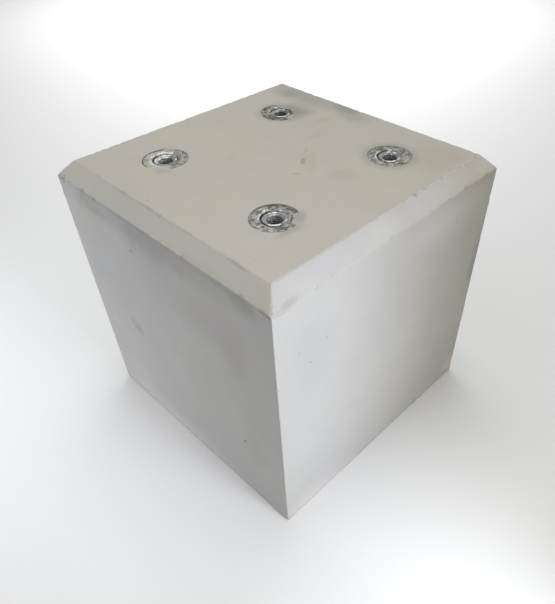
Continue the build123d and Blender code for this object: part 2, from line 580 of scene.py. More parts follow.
# Around each socket, from the top down: the lip, the plate's place, the gap around the tube with the
# cement in it, and the places of the tube, its squeezed stretch, the bar and the bar's foot.
hole_edge = plate_hole_radius + hole_widening * angle_share(140, 120)
least_seam_shade = 0.3
gap_filling = 2.4 * mm  # height of the cement in a full gap, above the plate's underside
lips = {}
seam_shade = {}
for number, (name, centre) in enumerate(sockets.items()):
    # Painted shade in the seam around each plate, never less than the least share.
    seam_shade[name] = np.maximum(least_seam_shade, strongest(seam_painted_shade[name]))
    rim_points = np.column_stack((unit_ring * lip_radius + centre, np.zeros(ring_steps)))
    ragged = two_waves(rim_points, 2.2 * mm, 0.9 * mm, 0.5, 40 + 10 * number)
    lip = lip_radius + 0.4 * mm * ragged
    for angle, spread, reach in cement_tongues[name]:
        share = angle_share(angle, spread, 0.15)
        lip = np.minimum(lip, lip_radius + share * (reach * mm - lip_radius + 1.5 * mm * ragged))
    lips[name] = lip
    fill_top = plate_underside + strongest(filled_gaps[name]) * (gap_filling + 0.5 * mm * ragged)
    rings = [
        (lip_rim, top),
        (lip * 0.4 + 0.6 * lip_rim, top),
        (lip + 0.8 * mm, top),
        (lip + 0.3 * mm, top - 0.04 * mm),
        (lip, top - 0.14 * mm),
        (lip, plate_top + film),
        (np.maximum(lip, plate_radius + film), plate_top + film / 2),
        (plate_radius + film, plate_underside - film),
        (hole_edge - film, plate_underside - film),
        (hole_edge - film, fill_top),
        ((hole_edge + tube_radius) / 2, fill_top + 0.12 * mm * ragged),
        (tube_radius + film, fill_top - 0.1 * mm),
        (tube_radius + film, crimp_top - film),
        (crimp_radius + film, crimp_top - film),
        (crimp_radius + film, tube_low - film),
        (bar_radius + film, tube_low - film),
        (bar_radius + film, foot_top + film),
        (foot_radius + film, foot_top + film),
        (foot_radius + film, foot_low - film),
        (3 * mm, foot_low - film),
    ]
    points, rows = ring_surface(rings, centre)
    last = len(points) - ring_steps + ring_numbers
    middle = np.full(ring_steps, len(points))
    rows = np.concatenate((rows, np.stack((last, np.roll(last, -1), middle), -1)))
    add_facets(np.concatenate((points, [(*centre, foot_low - film)])), rows)

# The stretches are welded where they share an edge.
block_mesh = bpy.data.meshes.new("block_skin")
block_mesh.from_pydata(np.concatenate(corners).tolist(), [], np.concatenate(facets).tolist())
weld = bmesh.new()
weld.from_mesh(block_mesh)
bmesh.ops.remove_doubles(weld, verts=weld.verts, dist=0.004 * mm)
weld.to_mesh(block_mesh)
weld.free()

# Marks on the skin: how broken it is, and how much painted shade darkens it in hollows. The walls of the
# sockets' places take it in full, the lip as far as its seam takes painted shade, and the cement over the
# plate and in its hole much less.
places = np.empty(len(block_mesh.vertices) * 3)
block_mesh.vertices.foreach_get("co", places)
places = places.reshape(-1, 3)
broken = np.zeros(len(places))
hollow_shade = np.zeros(len(places))
outer_skin = np.ones(len(places), dtype=bool)
height = places[:, 2]
for name, centre in sockets.items():
    away = places[:, :2] - centre
    from_axis = np.hypot(*away.T)
    inside = (from_axis < lip_rim - 0.2 * mm) & (height < top - 0.02 * mm) & (height > 1 * mm)
    outer_skin &= ~inside
    hollow_shade[inside] = 1.0
    lip_wall = inside & (height > top - 0.2 * mm)
    angles = np.arctan2(away[lip_wall, 1], away[lip_wall, 0])
    hollow_shade[lip_wall] = 0.85 * np.interp(angles, ring_angles, seam_shade[name], period=2 * math.pi)
    hollow_shade[lip_wall & (from_axis < plate_radius - 1.2 * mm)] = 0.12
    hollow_shade[inside & (from_axis < plate_hole_radius) & (height > plate_underside + 1.2 * mm)] = 0.4

# Worn edges: along each one the surface is pushed in to a soft round, and further in at a chip.
# Points far from an edge hardly move, since the wear dies away with their depth under it.
wear_reach = 7 * mm
for name, (start, end, direction, spacing, wear) in edges.items():
    reach, away = to_segment(places, start, end)
    near = np.flatnonzero((away < wear_reach) & outer_skin)
    spots = places[near]
    under = (start - spots) @ direction
    chip = np.zeros(len(near))
    for place, length, deepest in chips[name]:
        part = (reach[near] - place * mm) / (length / 2 * mm)
        uneven = 0.35 + 1.2 * wander(spots, 1.5 * mm, int(place * 7) % 997)
        chip = np.maximum(chip, deepest * mm * np.clip(1 - part**2, 0, 1) ** 0.8 * uneven)
    cut = np.maximum(under, chip)
    softness = wear * (0.5 + 0.7 * wander(spots, 14 * mm, 5) + 0.5 * wander(spots, 2.5 * mm, 6))
    depth = cut + softness * np.exp(-cut / softness)
    places[near] = spots - direction * (depth - under)[:, None]
    broken[near] = np.maximum(broken[near], smooth_step(cut - under, 0, 0.18 * mm))
    broken[near] = np.maximum(broken[near], 0.45 * smooth_step(depth - under, 0.1 * mm, 0.4 * mm))

# Hollows are pressed in, and the plain faces get a slight unevenness from the mould.
hollow_reach = 8 * mm
for hollow in hollows:
    middle, long_half, short_half = mark_frame(*hollow)
    near = np.flatnonzero((np.linalg.norm(places - middle, axis=1) < hollow_reach) & outer_skin)
    spots = places[near]
    away = in_hollow(spots, hollow)
    uneven = 0.75 + 0.5 * wander(spots, 0.8 * mm, 11)
    depth = hollow[-1] * mm * np.clip(1 - away**2, 0, 1) ** 0.55 * uneven
    inward = np.cross(long_half, short_half)
    inward = inward / np.linalg.norm(inward)
    inward = inward * -np.sign(inward @ (middle - np.array((0, 0, top / 2))))
    places[near] = spots + inward * depth[:, None]
    # Painted shade darkens each hollow, more where it is deeper.
    hollow_shade[near] = np.maximum(hollow_shade[near], 0.5 * smooth_step(depth, 0.05 * mm, 0.8 * mm))
mould_wave, mould_ripple = 0.12 * mm, 0.04 * mm
flat_foot = 20 * mm  # the unevenness starts at the base, and is whole this far up
flat_around_socket = 14 * mm
for axis, sign in ((0, -1), (0, 1), (1, -1), (1, 1), (2, 1)):
    limit = top if axis == 2 else half_width
    on_face = places[:, axis] * sign > limit - 0.1 * mm
    near = np.flatnonzero(on_face & outer_skin & (places[:, 2] > 0.1 * mm))
    uneven = mould_wave * wander(places[near], 38 * mm, 21) + mould_ripple * wander(places[near], 9 * mm, 22)
    uneven *= smooth_step(places[near, 2], 0, flat_foot)
    for centre in sockets.values():
        away = np.hypot(*(places[near, :2] - centre).T)
        uneven *= smooth_step(away, lip_rim, lip_rim + flat_around_socket)
    places[near, axis] -= sign * uneven

block_mesh.vertices.foreach_set("co", places.ravel())


def finish_mesh(mesh, marks):
    """Stores the marks on the mesh's points, and shades it smooth between its sharp edges."""
    for name, values in marks.items():
        mesh.attributes.new(name, "FLOAT", "POINT").data.foreach_set("value", values)
    mesh.polygons.foreach_set("use_smooth", np.ones(len(mesh.polygons), dtype=bool))
    mesh.set_sharp_from_angle(angle=math.radians(50))
    mesh.update()


def add_piece(name, mesh, replaced):
    """Puts a mesh in the scene as a piece that rides on the block and stands for a CAD node."""
    piece = bpy.data.objects.new(name, mesh)
    bpy.context.scene.collection.objects.link(piece)
    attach(piece, "root")
    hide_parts(replaced)


finish_mesh(block_mesh, {"broken": broken, "hollow": hollow_shade})
add_piece("block_skin", block_mesh, "concrete_block")


def new_group(name, inputs, outputs):
    """An empty shader group. Each input is given as a kind and a default, and each output as a kind."""
    group = bpy.data.node_groups.new(name, "ShaderNodeTree")
    for socket_name, (kind, value) in inputs.items():
        kind = f"NodeSocket{kind}"
        group.interface.new_socket(name=socket_name, in_out="INPUT", socket_type=kind).default_value = value
    for socket_name, kind in outputs.items():
        group.interface.new_socket(name=socket_name, in_out="OUTPUT", socket_type=f"NodeSocket{kind}")
    return group, group.nodes.new("NodeGroupInput").outputs, group.nodes.new("NodeGroupOutput")


def place_group(group, inputs):
    """A group placed in a material, with its inputs set or linked."""
    return add_node("ShaderNodeGroup", inputs, node_tree=group).outputs


def calculate(operation, first, second):
    """One sum on two values or sockets."""
    return add_node("ShaderNodeMath", {0: first, 1: second}, operation=operation).outputs[0]


def fade(mask, share):
    """A mask made weaker or stronger."""
    return calculate("MULTIPLY", mask, share)


def ramp(value, low, high, start=0.0, end=1.0):
    """A smooth step: start below low, end above high."""
    inputs = {"Value": value, "From Min": low, "From Max": high, "To Min": start, "To Max": end}
    return add_node("ShaderNodeMapRange", inputs, interpolation_type="SMOOTHSTEP").outputs[0]


def vector_maths(operation, first, second):
    made = add_node("ShaderNodeVectorMath", {0: first, 1: second}, operation=operation)
    return made.outputs["Value" if operation == "DOT_PRODUCT" else "Vector"]


def noise(position, scale, detail=2.0, roughness=0.5, distortion=0.0, output="Fac"):
    inputs = {"Vector": position, "Scale": scale, "Detail": detail, "Roughness": roughness}
    return add_node("ShaderNodeTexNoise", {**inputs, "Distortion": distortion}).outputs[output]


def tinted(colour, tint):
    """A colour multiplied by a tint."""
    return mix_colour(1.0, colour, tint, "MULTIPLY")


def bumped(height, strength, distance):
    """A normal that follows a height."""
    inputs = {"Strength": strength, "Distance": distance, "Height": height}
    return add_node("ShaderNodeBump", inputs).outputs[0]


def position_in(material):
    """Where a point lies on the object, in metres."""
    return add_node("ShaderNodeTexCoord", tree=material.node_tree).outputs["Object"]


def mark_in(material, name):
    """A mark stored on the mesh's points, as a mask."""
    return add_node("ShaderNodeAttribute", tree=material.node_tree, attribute_name=name).outputs["Fac"]


# Shader group: the soft mask of one tint patch, an ellipse with a wandering edge. Over a hundred of them are
# placed in one material, which comes out black unless nearly all of their nodes are vector sums.
tint_patch_mask, given, result = new_group(
    "tint_patch_mask",
    {
        "Position": ("Vector", (0, 0, 0)),
        "Drift": ("Vector", (0, 0, 0)),
        "Middle": ("Vector", (0, 0, 0)),
        "Long": ("Vector", (1, 0, 0)),
        "Short": ("Vector", (0, 1, 0)),
        "Out": ("Vector", (0, 0, 1)),
        "Soft": ("Float", 0.5),
        "Ragged": ("Float", 0.004),
    },
    {"Mask": "Float"},
)
offset = vector_maths("SUBTRACT", given["Position"], given["Middle"])
drift = add_node("ShaderNodeVectorMath", {0: given["Drift"], "Scale": given["Ragged"]}, operation="SCALE")
moved = vector_maths("ADD", offset, drift.outputs["Vector"])
along = vector_maths("DOT_PRODUCT", moved, given["Long"])
across = vector_maths("DOT_PRODUCT", moved, given["Short"])
out = vector_maths("DOT_PRODUCT", offset, given["Out"])
local = add_node("ShaderNodeCombineXYZ", {0: along, 1: across, 2: out}).outputs[0]
away = add_node("ShaderNodeVectorMath", {0: local}, operation="LENGTH").outputs["Value"]
core = calculate("SUBTRACT", 1.0, given["Soft"])
fill_inputs(result, {"Mask": ramp(away, 1.0, core)})

# Shader group: sand grain, cloudy mottling and pores of cement, as tints near white and as a height.
cement_grain, given, result = new_group(
    "cement_grain",
    {"Position": ("Vector", (0, 0, 0)), "Clouds": ("Float", 0.04), "Sand": ("Float", 0.03)},
    {"Tint": "Color", "Height": "Float"},
)
large = noise(given["Position"], 11.0, 4.0, 0.55, 0.4)
middle_sized = noise(given["Position"], 48.0, 5.0, 0.6, 0.3)
sand = noise(given["Position"], 900.0, 2.0, 0.6)
cells = add_node("ShaderNodeTexVoronoi", {"Vector": given["Position"], "Scale": 150.0}).outputs
in_pore = ramp(cells["Distance"], 0.10, 0.05)
some_cells = ramp(cells["Color"], 0.62, 0.68)
# Pores are darkened: painted shade in the pinholes.
pore = calculate("MULTIPLY", in_pore, some_cells)
shade = calculate("SUBTRACT", 1.0, fade(pore, 0.3))
middle_clouds = fade(given["Clouds"], 0.6)
for value, amount in ((large, given["Clouds"]), (middle_sized, middle_clouds), (sand, given["Sand"])):
    from_middle = calculate("SUBTRACT", value, 0.5)
    factor = calculate("MULTIPLY", from_middle, fade(amount, 4.0))
    shade = calculate("MULTIPLY", shade, calculate("ADD", factor, 1.0))
warm = mix_colour(ramp(large, 0.35, 0.65), (1.0, 0.995, 1.005), (1.0, 0.995, 0.975))
tint = tinted(warm, shade)
rise = calculate("ADD", fade(middle_sized, 0.5), fade(sand, 0.3))
rise = calculate("SUBTRACT", rise, fade(pore, 0.6))
fill_inputs(result, {"Tint": tint, "Height": rise})

# Stains, and some patches of painted light and shade marked below: face, place along it and up it, length,
# width and turn, softness, raggedness in millimetres, tint.
stains_and_painted_light = [
    ("top", 132, 29, 56, 30, 90, 0.75, 8, (0.75, 0.755, 0.735)),
    ("top", 124, 84, 150, 56, 90, 0.8, 14, (0.80, 0.805, 0.815)),
    ("top", 121, 10, 64, 40, 90, 0.8, 10, (0.84, 0.845, 0.85)),
    ("top", 120, 106, 36, 30, 60, 0.8, 8, (0.9, 0.9, 0.9)),
    ("top", 132, 128, 30, 24, 0, 0.8, 6, (0.9, 0.9, 0.9)),
    ("top", -60, -89, 30, 15, 42, 0.8, 3, (0.76, 0.76, 0.745)),
    ("top", -80, -98, 42, 13, -4, 0.8, 3, (0.82, 0.82, 0.81)),
    ("top", 75, -75, 66, 66, 0, 0.55, 5, (0.70, 0.71, 0.73)),
    ("top", 75, 75, 64, 64, 0, 0.55, 5, (0.74, 0.75, 0.77)),
    ("top", -91, 56, 26, 14, -50, 0.8, 4, (0.86, 0.865, 0.875)),
    ("top", -61, 92, 20, 12, -40, 0.8, 3, (0.9, 0.9, 0.89)),
    ("top", 84, 65, 60, 56, 0, 0.6, 7, (0.88, 0.87, 0.83)),
    ("top", 94, 56, 34, 26, -45, 0.8, 5, (0.9, 0.88, 0.84)),
    ("top", 86, -62, 62, 54, 40, 0.7, 8, (0.97, 0.965, 0.95)),
    ("top", 100, -105, 100, 76, 20, 0.9, 18, (0.94, 0.93, 0.9)),
    ("top", 11, -22.4, 18, 6, 45, 0.55, 1.5, (0.74, 0.75, 0.72)),
    ("top", 23, -11.5, 14, 3.4, 43, 0.8, 2, (0.9, 0.92, 0.97)),
    ("top", -10.5, -35.0, 12, 6, -48, 0.8, 2, (0.84, 0.84, 0.82)),
    ("top", 29, -9, 13, 4, 35, 0.8, 2, (0.87, 0.87, 0.85)),
    ("top", 15, -28, 62, 16, 45, 0.6, 5, (0.975, 0.94, 0.922)),
    ("top", 16, -66, 38, 34, 0, 0.7, 10, (0.965, 0.925, 0.905)),
    ("top", 91, 27, 52, 16, -6, 0.8, 8, (0.98, 0.93, 0.905)),
    ("top", 118, -122, 46, 24, 30, 0.8, 12, (0.985, 0.945, 0.93)),
    ("top", 60, 8, 64, 18, 12, 0.9, 12, (0.97, 0.96, 0.95)),
    ("top", 4, 60, 60, 40, 60, 0.9, 16, (0.975, 0.975, 0.965)),
    ("top", -28, 34, 26, 16, 20, 0.9, 9, (0.955, 0.955, 0.945)),
    ("top", -31, 0, 14, 10, 60, 0.8, 4, (0.955, 0.955, 0.95)),
    ("left", -74.7, 136.6, 31, 24, -20, 0.5, 5, (0.88, 0.88, 0.875)),
    ("left", -73, 134, 18, 11, 20, 0.6, 3, (0.91, 0.91, 0.91)),
    ("left", 94.7, 88.7, 8, 4.5, 78, 0.7, 1, (0.86, 0.86, 0.88)),
    # Partly painted shade: the next five rows darken a band right under the bevel, as a shadow line along its
    # lower edge, over darker concrete there.
    ("left", 118, 279, 48, 30, -8, 0.8, 5, (0.82, 0.82, 0.76)),
    ("left", 96, 284, 70, 14, 0, 0.8, 4, (0.92, 0.92, 0.89)),
    ("left", 50, 286, 180, 16, 0, 0.8, 5, (0.92, 0.92, 0.905)),
    ("left", -60, 286, 180, 12, 0, 0.9, 4, (0.92, 0.92, 0.915)),
    ("left", 0, 274, 330, 40, 0, 0.9, 10, (0.93, 0.925, 0.92)),
    # Painted light: the left face lighter near its foot, as from light off the floor.
    ("left", -80, 8, 200, 60, 0, 0.95, 10, (1.07, 1.065, 1.06)),
    ("left", 144, 284.5, 16, 5, -6, 0.7, 2, (0.72, 0.70, 0.65)),
    ("left", -104, 284.5, 8, 4, 0, 0.6, 1.5, (0.78, 0.78, 0.79)),
    ("left", -110, 279, 3, 10, 0, 0.8, 1.5, (0.9, 0.9, 0.9)),
    ("left", -84, 285, 6, 3.4, 0, 0.6, 1.5, (0.8, 0.8, 0.8)),
    ("left", -139, 285, 10, 3.4, 0, 0.6, 2, (0.78, 0.78, 0.77)),
    ("left", 7, 250, 60, 50, 0, 0.95, 12, (0.97, 0.945, 0.96)),
    ("left", 82, 232, 120, 96, -20, 0.9, 22, (0.935, 0.91, 0.925)),
    ("left", 98, 200, 44, 66, 0, 0.85, 14, (0.955, 0.925, 0.94)),
    # Partly painted shade: a darker band under the bevel, as above.
    ("left", -96, 272, 76, 22, 0, 0.9, 8, (0.9, 0.9, 0.895)),
    ("left", 0, 270, 150, 56, 6, 0.95, 14, (0.92, 0.91, 0.92)),
    # Painted light: the next five rows make the left face cooler and lighter towards its back and foot, where
    # more light falls on it.
    ("left", -104, 196, 74, 70, -32, 0.85, 16, (0.965, 0.995, 1.035)),
    ("left", -60, 96, 40, 120, 24, 0.9, 16, (0.97, 0.995, 1.03)),
    ("left", -102, 40, 96, 96, 0, 0.9, 18, (1.11, 1.095, 1.06)),
    ("left", -128, 20, 60, 56, 0, 0.9, 10, (1.07, 1.055, 1.03)),
    ("left", -128, 128, 38, 90, 0, 0.9, 10, (1.04, 1.02, 0.99)),
    ("left", 22, 199, 26, 3.2, 84, 0.8, 2, (1.07, 1.07, 1.07)),
    ("left", 11, 163, 32, 3.6, 62, 0.8, 3, (1.06, 1.06, 1.06)),
    ("left", -28, 160, 16, 2.6, 64, 0.8, 2, (1.06, 1.06, 1.06)),
    ("left", -43, 145, 20, 2.6, 30, 0.8, 2, (1.05, 1.05, 1.05)),
    ("left", -38, 251.4, 9, 3, 32, 0.8, 1, (0.84, 0.84, 0.84)),
    ("left", 112, 130, 60, 80, 0, 0.95, 18, (0.97, 0.97, 0.975)),
    # Partly painted shade: a darker band under the bevel, as above.
    ("left", 10, 287, 330, 66, 0, 0.95, 12, (0.86, 0.855, 0.86)),
    ("left", -100, 284, 60, 30, 0, 0.95, 8, (0.93, 0.93, 0.935)),
    ("left", 30, 225, 160, 60, 0, 0.95, 14, (0.95, 0.945, 0.955)),
    ("left", 110, 85, 60, 70, 0, 0.95, 12, (0.93, 0.925, 0.935)),
    # Painted light: a band along the left face's foot, lighter as from light off the floor.
    ("left", -20, 4, 330, 76, 0, 0.95, 12, (1.24, 1.23, 1.22)),
    ("right", -136, 284, 26, 7, 4, 0.7, 3, (0.88, 0.88, 0.85)),
    ("right_bevel", -132, -8, 26, 8, 8, 0.7, 3, (0.86, 0.86, 0.835)),
    ("right", -147, 285, 9, 4, 0, 0.8, 2, (0.93, 0.93, 0.9)),
    # Painted light: the next five rows lighten the right bevel and cool it in places, most towards its back
    # end, as though the window light reached all along it.
    ("right_bevel", 0, 0, 330, 60, 0, 0.5, 4, (1.07, 1.07, 1.08)),
    ("right_bevel", -20, 0, 70, 40, 0, 0.9, 6, (1.1, 1.1, 1.1)),
    ("right_bevel", 110, 0, 190, 50, 0, 0.9, 6, (1.2, 1.19, 1.17)),
    ("right_bevel", 140, 0, 60, 50, 0, 0.9, 6, (1.14, 1.13, 1.11)),
    ("right_bevel", 40, 0, 120, 50, 0, 0.8, 6, (1.1, 1.11, 1.13)),
    ("left_bevel", 0, 0, 330, 60, 0, 0.5, 4, (1.01, 1.02, 1.06)),
    # Partly painted shade: the next five rows darken a line along the bevel's upper edge, as a shade line
    # there, with darker dashes of concrete in it.
    ("left_bevel", 0, 9.4, 300, 7, 0, 0.9, 4, (0.94, 0.94, 0.93)),
    ("left_bevel", -14, 9.4, 34, 4.4, 0, 0.8, 3, (0.84, 0.84, 0.82)),
    ("left_bevel", -50, 9, 30, 3, 0, 0.9, 3, (0.93, 0.93, 0.92)),
    ("left_bevel", -49, 9.2, 11, 3.4, 0, 0.8, 2, (0.84, 0.84, 0.82)),
    ("left_bevel", 3, 9, 13, 3.2, 0, 0.8, 2, (0.85, 0.85, 0.83)),
    ("left_bevel", 9, -8.9, 18, 3.2, 0, 0.6, 1, (1.13, 1.13, 1.16)),
    ("left_bevel", 24, -9.2, 12, 2.6, 0, 0.6, 1, (1.11, 1.11, 1.14)),
    ("left_bevel", 41, -9.2, 5, 3.4, 0, 0.6, 0.6, (1.2, 1.2, 1.23)),
    # Partly painted shade along the bevel's upper edge, as above.
    ("left_bevel", 36, 9.2, 40, 3, 0, 0.9, 3, (0.93, 0.93, 0.92)),
    ("left_bevel", 100, 9, 38, 4.6, -1, 0.8, 3, (0.82, 0.82, 0.8)),
    ("left_bevel", 60, -6, 120, 7, 0, 0.9, 3, (0.96, 0.955, 0.94)),
    ("right", -88, 287.5, 34, 3, 0, 0.9, 2, (0.92, 0.92, 0.9)),
    ("right", 90.3, 253.6, 13, 4.5, 82, 0.8, 2, (0.87, 0.87, 0.86)),
    ("right", 100, 284, 130, 26, 0, 0.9, 6, (0.95, 0.95, 0.93)),
    ("right", 132, 284, 44, 24, 0, 0.9, 5, (0.92, 0.92, 0.89)),
    ("right", 146, 182, 24, 130, 0, 0.9, 6, (0.8, 0.81, 0.82)),
    ("right", 118, 225, 60, 120, 0, 0.95, 16, (0.97, 0.98, 0.95)),
    ("right", 60, 262, 120, 60, 0, 0.95, 16, (1.07, 1.07, 1.1)),
    ("right", 80, 270, 200, 90, 0, 0.95, 16, (1.1, 1.1, 1.1)),
    ("right", -112, 222, 90, 150, 0, 0.95, 14, (0.92, 0.925, 0.955)),
    ("right", -120, 150, 130, 330, 0, 0.9, 10, (0.965, 0.975, 1.0)),
    # Painted light: the next three rows lighten the right face near its foot, as from light off the floor.
    ("right", -105, 4, 150, 76, 0, 0.95, 10, (1.17, 1.17, 1.17)),
    ("right", 90, 6, 150, 60, 0, 0.95, 10, (1.1, 1.1, 1.08)),
    ("right", 140, 18, 50, 50, 0, 0.9, 8, (1.18, 1.18, 1.17)),
    ("right", 96, 70, 9, 2.4, -50, 0.7, 1, (0.85, 0.84, 0.8)),
    ("right", 69, 4, 30, 6, 0, 0.8, 3, (0.75, 0.75, 0.72)),
    ("behind_right", -90, 60, 90, 60, 20, 0.9, 18, (0.93, 0.925, 0.91)),
    ("behind_right", 60, 190, 110, 70, -20, 0.9, 20, (0.95, 0.945, 0.95)),
    ("behind_left", 70, 90, 80, 110, 10, 0.9, 20, (0.94, 0.93, 0.925)),
    ("behind_left", -60, 230, 70, 40, 0, 0.9, 14, (1.05, 1.045, 1.03)),
    # Partly painted shade: a darker band under the bevel, as on the left face.
    ("behind_right", 0, 282, 330, 40, 0, 0.95, 10, (0.92, 0.915, 0.905)),
    ("behind_right", 84, 266, 62, 24, -10, 0.8, 5, (0.86, 0.855, 0.83)),
    ("behind_right", -34, 142, 30, 3.2, 72, 0.8, 2, (1.06, 1.06, 1.06)),
    ("behind_right", -58, 158, 26, 17, 25, 0.5, 4, (0.9, 0.9, 0.895)),
    # Partly painted shade: a darker band under the bevel, as on the left face.
    ("behind_left", 0, 282, 330, 36, 0, 0.95, 10, (0.93, 0.925, 0.915)),
    ("behind_left", -92, 262, 46, 30, 8, 0.8, 6, (0.87, 0.865, 0.84)),
    ("behind_left", 30, 186, 28, 3.2, -58, 0.8, 2, (1.06, 1.06, 1.06)),
    ("behind_left", 92, 128, 24, 16, 20, 0.5, 4, (0.9, 0.9, 0.89)),
]
tint_patch_reach = 1.2 * mm  # how far a patch reaches in, so that it stays on its own face
cement_beige = (0.474, 0.448, 0.387)
concrete, concrete_shader = new_material("cast_concrete")
position = position_in(concrete)
apart = add_node("ShaderNodeSeparateXYZ", {0: position}).outputs
grain = place_group(cement_grain, {"Position": position, "Clouds": 0.032, "Sand": 0.025})
# The sides take a grey that is cooler towards the front and the left face and warmer towards the back right:
# partly the concrete's own tone, partly painted cool light where cool light falls on those faces.
side_colour = mix_colour(ramp(apart["X"], -0.1, 0.12), (0.40, 0.393, 0.377), (0.40, 0.385, 0.346))
on_top = ramp(apart["Z"], top - 0.5 * mm, top - 0.25 * mm)
above_side = ramp(apart["Z"], bevel_foot - 0.4 * mm, bevel_foot + 0.4 * mm)
towards_left = calculate("SUBTRACT", apart["Y"], apart["X"])
beige_bevel = calculate("MULTIPLY", above_side, ramp(towards_left, -1 * mm, 1 * mm))
beige = calculate("MAXIMUM", on_top, beige_bevel)
colour = tinted(mix_colour(beige, side_colour, cement_beige), grain["Tint"])
drift = vector_maths("SUBTRACT", noise(position, 70.0, 3.0, output="Color"), (0.5, 0.5, 0.5))
for face, along, height, length, width, turn, soft, ragged, tint in stains_and_painted_light:
    middle, long_half, short_half = mark_frame(face, along, height, length, width, turn)
    out = np.cross(long_half, short_half)
    tint_patch = {
        "Position": position,
        "Drift": drift,
        "Middle": tuple(middle),
        "Long": tuple(long_half / (long_half @ long_half)),
        "Short": tuple(short_half / (short_half @ short_half)),
        "Out": tuple(out / np.linalg.norm(out) / tint_patch_reach),
        "Soft": soft,
        "Ragged": ragged * mm,
    }
    mask = place_group(tint_patch_mask, tint_patch)["Mask"]
    colour = mix_colour(mask, colour, tinted(colour, tint))
broken_mark = mark_in(concrete, "broken")
hollow_shade_mark = mark_in(concrete, "hollow")
broken_tint = mix_colour(noise(position, 420.0, 3.0), (0.62, 0.61, 0.58), (1.3, 1.29, 1.26))
colour = mix_colour(broken_mark, colour, tinted(colour, broken_tint))
# Painted shade: hollows, the sockets' places and the seam on the lip are darkened.
colour = mix_colour(hollow_shade_mark, colour, tinted(colour, (0.36, 0.35, 0.33)))
roughness = ramp(noise(position, 30.0, 3.0), 0.3, 0.7, 0.78, 0.92)
broken_rise = calculate("MULTIPLY", broken_mark, noise(position, 700.0, 3.0))
rise = calculate("ADD", grain["Height"], fade(broken_rise, 1.6))
normal = bumped(rise, 0.5, 0.12 * mm)
fill_inputs(concrete_shader, {"Base Color": colour, "Roughness": roughness, "Normal": normal})
block_mesh.materials.append(concrete)

# Socket plates: a round steel plate around each socket, which held it to the mould.
# Zinc coated, and left smeared with cement that ran over it. Its hole is wider than the tube.
plate_rings = 36  # rings of the mesh across the plate's upper side
# Blobs of cement left on each plate: place from its middle, length, width and turn, in millimetres.
cement_blobs = {
    "front": [
        (1.0, 16.8, 5.4, 4.4, 10), (-17.0, 0.6, 4.2, 6.6, 0), (17.0, 0.2, 4.6, 4.4, 25),
        (-14.8, -11.6, 4.2, 2.4, -50), (9.6, -15.4, 7.5, 2.4, 35), (9.0, -9.2, 2.4, 1.4, 40),
        (13.6, 7.0, 3.4, 1.6, 110), (-11.0, 12.4, 3.0, 1.6, 40),
    ],
    "left": [
        (-17.0, 3.0, 9.0, 22.0, 10), (-13.0, 13.0, 14.0, 14.0, -35), (-18.0, -2.0, 8.0, 26.0, 0),
        (-15.0, -9.0, 12.0, 14.0, 30), (-2.0, 17.0, 18.0, 6.6, 0), (11.6, -12.6, 4.4, 4.2, 40),
        (-6.0, -15.5, 7.0, 3.4, 60), (-10.0, -14.0, 12.0, 8.0, -40), (1.0, -12.2, 4.0, 1.6, 10),
        (13.0, 13.0, 10.0, 6.6, -35), (17.5, 5.0, 4.0, 5.0, 0),
    ],
    "right": [
        (-13.4, 8.6, 4.2, 2.6, 30), (14.0, -10.0, 7.0, 8.0, 30), (9.8, 14.0, 5.0, 3.0, 60),
        (-7.6, -13.4, 3.4, 2.6, 20), (3.5, -17.6, 10.0, 4.6, 8), (-12.5, 13.0, 6.0, 2.4, 40),
        (15.0, 12.0, 3.0, 5.0, 40), (-16.0, -3.0, 2.4, 7.0, 10),
    ],
    "back": [
        (-4.6, 17.0, 8.5, 2.2, 42), (-12.0, 0.0, 2.0, 7.0, -35), (-9.0, 9.0, 4.0, 1.6, 40),
        (-15.0, -12.0, 5.0, 2.0, -30), (-16.5, 7.0, 2.0, 6.0, -30),
    ],
}
# Painted highlights at the plate's hole, white spots that stand in for glints: angle, half spread, and the
# radii between which they lie.
plate_painted_highlights = {
    "front": [(104, 22, 13.0, 14.0), (134, 14, 12.8, 13.6), (78, 16, 13.0, 15.2), (22, 9, 12.2, 13.4)],
    "left": [(170, 46, 12.6, 15.6), (104, 32, 13.0, 17.0), (66, 32, 12.6, 17.2), (34, 16, 12.0, 15.0)],
    "right": [(138, 22, 13.0, 14.0), (98, 18, 13.0, 13.9), (39, 11, 12.0, 13.6)],
    "back": [(68, 9, 13.4, 15.6), (120, 20, 12.4, 13.0)],
}
# Darker arcs on each plate: angle, half spread, and the radii between which they lie. Those that start at the
# hole's edge, within 13.5 mm of the middle, are painted shade of the gap around the tube; the rest simply
# darken the plate there.
dark_arcs = {
    "front": [(-48, 34, 13.2, 15.0), (-105, 20, 16.5, 18.0), (2, 24, 17.0, 19.5), (40, 44, 18.6, 21.0)],
    "left": [(-45, 26, 12.4, 13.6)],
    "right": [(160, 30, 17.5, 18.5), (-40, 22, 18.0, 19.0)],
    "back": [(200, 50, 14.0, 18.0), (-36, 56, 12.4, 14.0)],
}
dirty_share = {"front": 0.25, "left": 0.0, "right": 0.2, "back": 0.4}
skin_clearance = 0.02 * mm  # the plate and its cement stay this far below the block's top
cement_thickness = 0.24 * mm
plate_waves = 0.07 * mm  # how unevenly the plate lies under its place in the CAD model
plate_sinking = 0.05 * mm
rounded_edge = 0.1 * mm  # drop at the plate's rim and at its hole
highlight_lift = 0.1 * mm


def smooth_range(value, low, high, edge):
    """1 between low and high, with an edge of the given softness at both ends."""
    return smooth_step(value, low - edge, low) * smooth_step(value, high + edge, high)


def arcs(stretches, radius, edge):
    """The strongest of some arcs on a ring: each is an angle, a half spread, and two radii to lie between."""
    made = []
    for angle, spread, near, far in stretches:
        made.append(angle_share(angle, spread) * smooth_range(radius / mm, near, far, edge))
    return np.max(made, axis=0)


